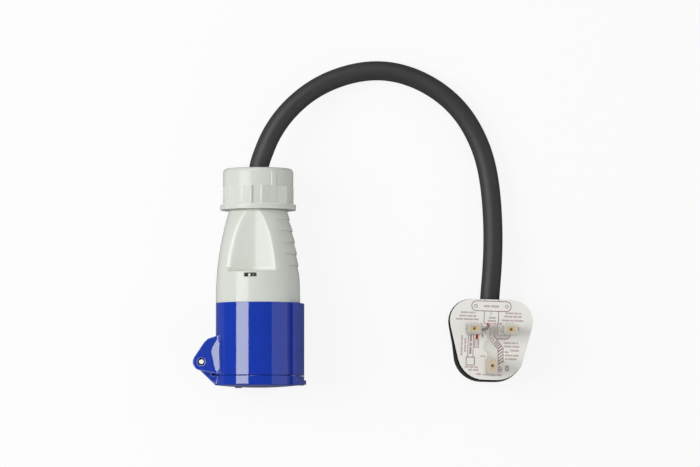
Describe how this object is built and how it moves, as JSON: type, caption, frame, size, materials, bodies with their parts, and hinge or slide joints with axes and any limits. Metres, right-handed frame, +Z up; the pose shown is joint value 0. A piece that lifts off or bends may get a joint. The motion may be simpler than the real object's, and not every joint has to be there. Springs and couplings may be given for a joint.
{
  "type": "power adapter cable",
  "caption": "Short black mains adapter cable: a fused square-pin plug with a clear pin guard at one end, a round blue industrial socket with a sprung hinged lid at the other.",
  "frame": {"origin": "under the middle of the connector's own box, on the surface it lies on", "axes": "+Y along the connector's axis from its lid to its gland nut, +Z up from the surface, +X towards the plug"},
  "size_m": [0.2067, 0.2012, 0.051],
  "materials": {
    "blue_plastic": "moulded, glossy",
    "grey_plastic": "moulded, semi-gloss",
    "black_plastic": "moulded, satin",
    "black_rubber": "matte",
    "cable_rubber": "matte, faintly grained",
    "brass": "bright",
    "steel": "zinc plated",
    "white_card": "smooth printed card",
    "clear_plastic": "clear, glossy",
    "white_ceramic": "matte",
    "brown_fibre": "pressed fibre",
    "core_brown": "smooth",
    "core_blue": "smooth",
    "core_green": "smooth"
  },
  "bodies": {
    "connector": {"front_housing": "blue_plastic", "hinge_ear_upper": "blue_plastic", "hinge_ear_lower": "blue_plastic", "rear_housing": "grey_plastic", "cable_seal": "black_rubber", "contact_carrier": "black_plastic", "contact_plate": "black_plastic", "contact_line": "brass", "contact_neutral": "brass", "contact_earth": "brass", "connector_screws": "steel", "release_clip": "steel", "hinge_pin": "steel", "lid_spring": "steel", "cable": "cable_rubber", "connector_core_line": "core_brown", "connector_core_neutral": "core_blue", "connector_core_earth": "core_green", "plug_core_line": "core_brown", "plug_core_neutral": "core_blue", "plug_core_earth": "core_green", "plug_base": "black_plastic", "plug_cover": "black_plastic", "wiring_card": "white_card", "pin_line": "brass", "pin_neutral": "brass", "pin_earth": "brass", "pin_sleeves": "black_plastic", "fuse_tube": "white_ceramic", "fuse_caps": "steel", "fuse_clips": "brass", "cord_grip": "brown_fibre", "cord_grip_screws": "steel", "plug_screws": "steel", "cover_screw": "steel"},
    "lid": {"lid": "blue_plastic", "lid_seal": "black_rubber"},
    "clamp": {"clamp_ring": "grey_plastic"},
    "nut": {"gland_nut": "grey_plastic"},
    "guard": {"pin_guard": "clear_plastic"}
  },
  "joints": [
    {"name": "lid_hinge", "type": "hinge", "parent": "connector", "child": "lid", "pos_m": [-0.02625, -0.05085, 0.01885], "axis": [0.2079, 0, -0.9781], "range_deg": [0, 135], "stiffness_Nm_per_rad": 0.03, "springref_deg": -85.94, "deforming": ["lid_spring"]},
    {"name": "clamp_slide", "type": "slide", "parent": "connector", "child": "clamp", "axis": [0, 1, 0], "range_m": [0, 0.003]},
    {"name": "gland_nut_turn", "type": "hinge", "parent": "clamp", "child": "nut", "pos_m": [0.00505, 0.05095, 0.0255], "axis": [0, 1, 0], "range_deg": [0, 360]},
    {"name": "pin_guard_slide", "type": "slide", "parent": "connector", "child": "guard", "axis": [0, 0, 1], "range_m": [0, 0.026]}
  ],
  "couplings": [
    {"joint": "clamp_slide", "follows": "gland_nut_turn", "m_per_rad": 0.00047746}
  ]
}
